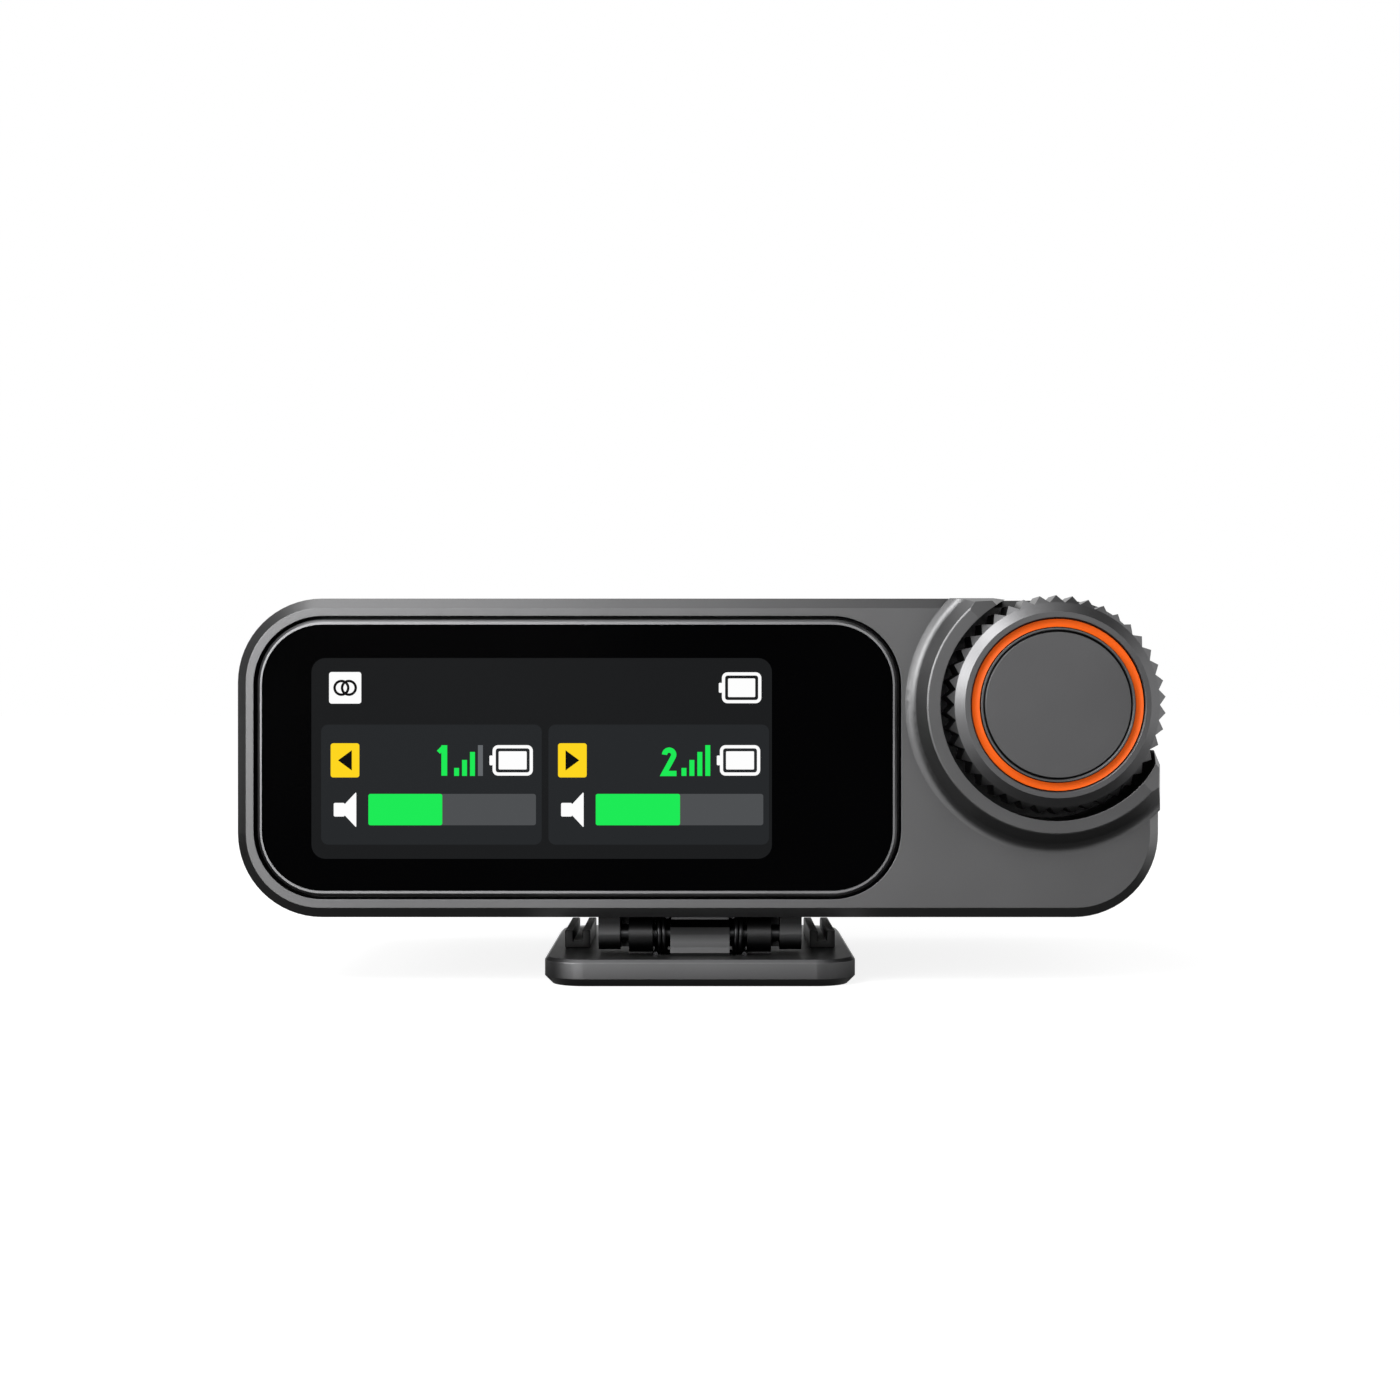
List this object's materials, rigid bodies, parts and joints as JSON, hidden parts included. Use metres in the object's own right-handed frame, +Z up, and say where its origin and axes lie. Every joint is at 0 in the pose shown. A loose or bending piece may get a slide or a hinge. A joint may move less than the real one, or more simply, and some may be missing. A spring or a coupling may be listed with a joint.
{
  "type": "wireless receiver unit",
  "caption": "Pocket wireless audio receiver: rounded body with a front display, a push-and-turn dial, side sockets and a sprung clip that ends in an accessory-shoe foot.",
  "frame": {"origin": "centre of the shoe foot's flat underside", "axes": "+X to the right along the body's length, +Y away from the viewer who reads the display, +Z up"},
  "size_m": [0.0543, 0.0274, 0.0229],
  "materials": {
    "housing_metal": "fine bead-blasted dark grey anodised",
    "rear_plastic": "fine moulded texture",
    "trim_metal": "satin dark anodised",
    "window_glass": "black printed on its back, polished",
    "display_stack": "black liquid-crystal panel",
    "dial_metal": "fine turned and anodised",
    "accent_orange": "satin orange",
    "clip_metal": "dark anodised",
    "grip_rubber": "matt moulded rubber",
    "spring_steel": "blackened spring wire",
    "steel": "plain bright steel",
    "black_steel": "black oxide",
    "circuit_board": "green solder mask",
    "chip_black": "moulded epoxy",
    "connector_black": "moulded nylon",
    "flex_amber": "amber film",
    "battery_foil": "satin foil pouch",
    "adhesive": "black foam tape",
    "contact_gold": "gold plated",
    "light_pipe": "frosted clear"
  },
  "bodies": {
    "receiver": {"front_housing": "housing_metal", "rear_housing": "rear_plastic", "housing_screws": "black_steel", "display_trim": "trim_metal", "cover_glass": "window_glass", "display_gasket": "adhesive", "display_panel": "display_stack", "display_carrier": "connector_black", "display_flex": "flex_amber", "flex_connector": "connector_black", "main_board": "circuit_board", "board_screws": "steel", "rf_shield": "steel", "processor": "chip_black", "power_chip": "chip_black", "line_out_jack": "connector_black", "line_out_collar": "black_steel", "headphone_jack": "connector_black", "headphone_collar": "black_steel", "usb_c_shell": "steel", "usb_c_tongue": "connector_black", "battery_cell": "battery_foil", "battery_tape": "adhesive", "battery_plug": "connector_black", "battery_tail": "flex_amber", "power_switch": "steel", "button_board": "circuit_board", "status_light_pipe": "light_pipe", "antenna_left": "flex_amber", "antenna_right": "flex_amber", "contact_block": "connector_black", "contact_pads": "contact_gold", "encoder_body": "connector_black", "dial_board": "circuit_board", "dial_switch": "steel", "dial_flex": "flex_amber", "clip_bracket": "clip_metal", "bracket_screws": "black_steel", "hinge_pin": "steel", "torsion_spring_left": "spring_steel", "torsion_spring_right": "spring_steel"},
    "dial_carrier": {"encoder_sleeve": "steel"},
    "dial": {"dial_wheel": "dial_metal", "dial_accent_ring": "accent_orange", "dial_cap": "dial_metal", "dial_shaft": "steel", "detent_rotor": "connector_black"},
    "power_button": {"power_button": "clip_metal"},
    "foot": {"shoe_foot": "clip_metal", "foot_grip_left": "grip_rubber", "foot_grip_right": "grip_rubber"}
  },
  "joints": [
    {"name": "dial_press", "type": "slide", "parent": "receiver", "child": "dial_carrier", "axis": [0, 1, 0], "range_m": [0, 0.0004], "stiffness_N_per_m": 1500, "springref_m": -0.0003},
    {"name": "dial_turn", "type": "hinge", "parent": "dial_carrier", "child": "dial", "pos_m": [0.02075, 0, 0.01655], "axis": [0, 1, 0], "continuous": true},
    {"name": "button_press", "type": "slide", "parent": "receiver", "child": "power_button", "axis": [0, 0, -1], "range_m": [0, 0.0003], "stiffness_N_per_m": 1500, "springref_m": -0.0003},
    {"name": "clip_hinge", "type": "hinge", "parent": "receiver", "child": "foot", "pos_m": [0, -0.006, 0.0028], "axis": [-1, 0, 0], "range_deg": [0, 28], "stiffness_Nm_per_rad": 0.06, "springref_deg": -57.3, "deforming": ["torsion_spring_left", "torsion_spring_right"]}
  ]
}
